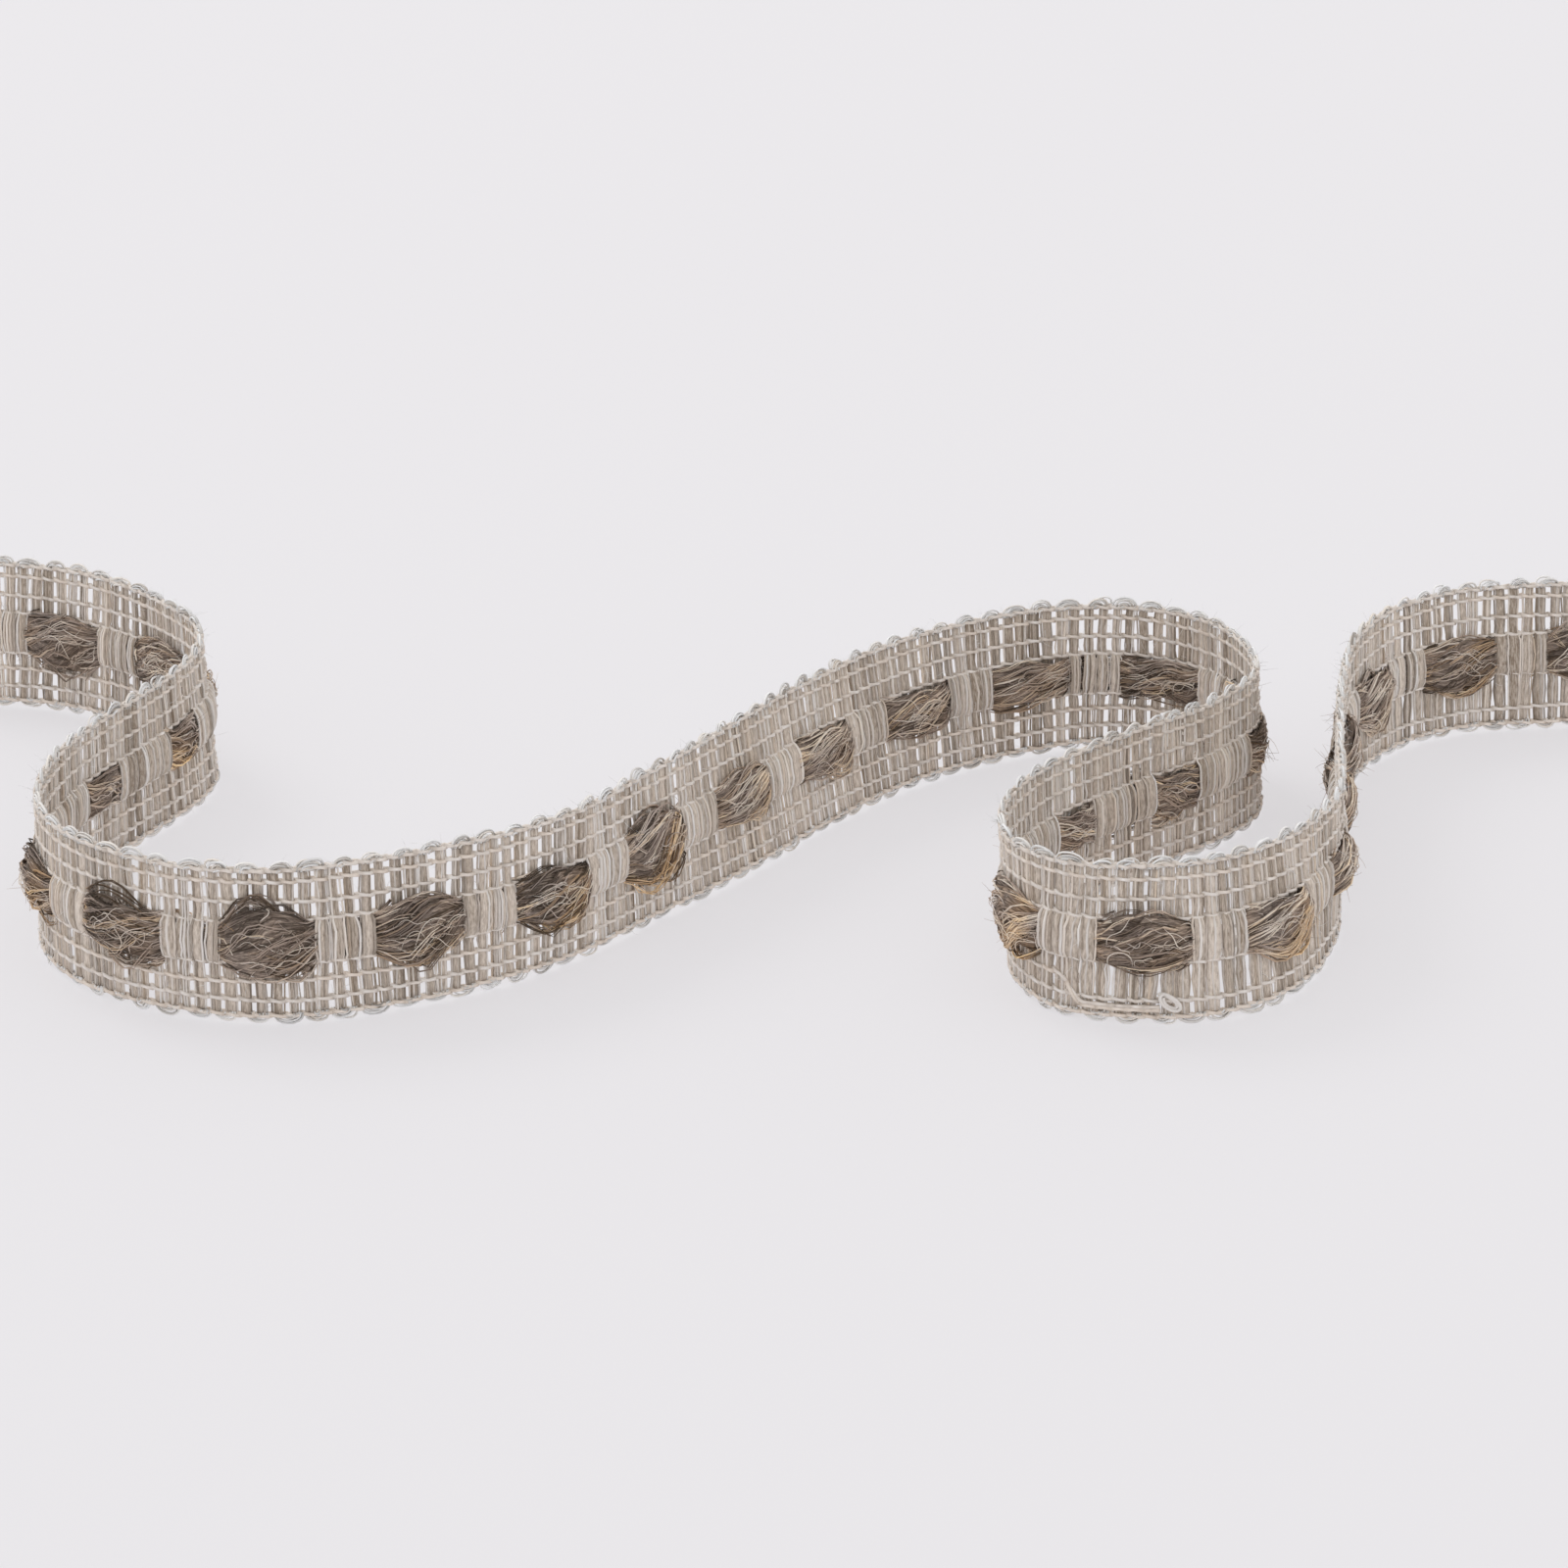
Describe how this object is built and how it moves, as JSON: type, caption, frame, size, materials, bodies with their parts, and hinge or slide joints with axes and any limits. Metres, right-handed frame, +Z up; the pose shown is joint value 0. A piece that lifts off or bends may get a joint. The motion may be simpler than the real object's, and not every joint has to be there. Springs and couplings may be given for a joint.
{
  "type": "open-weave tape trim",
  "caption": "Narrow open-weave linen tape trim with scalloped picot edges and a thick jute roving laid through its middle, standing on edge in loose curves.",
  "frame": {"origin": "centre of the bounding box at the level of the surface that the lower edge stands on", "axes": "+X along the run from the left cut end to the right one, +Y away from the front bends, +Z up across the tape's width"},
  "size_m": [0.2268, 0.1042, 0.02],
  "materials": {
    "linen": "matt undyed linen yarn",
    "jute": "rough brown jute fibre"
  },
  "bodies": {
    "root": {"woven_ground": "linen", "jute_roving": "jute"}
  },
  "joints": []
}
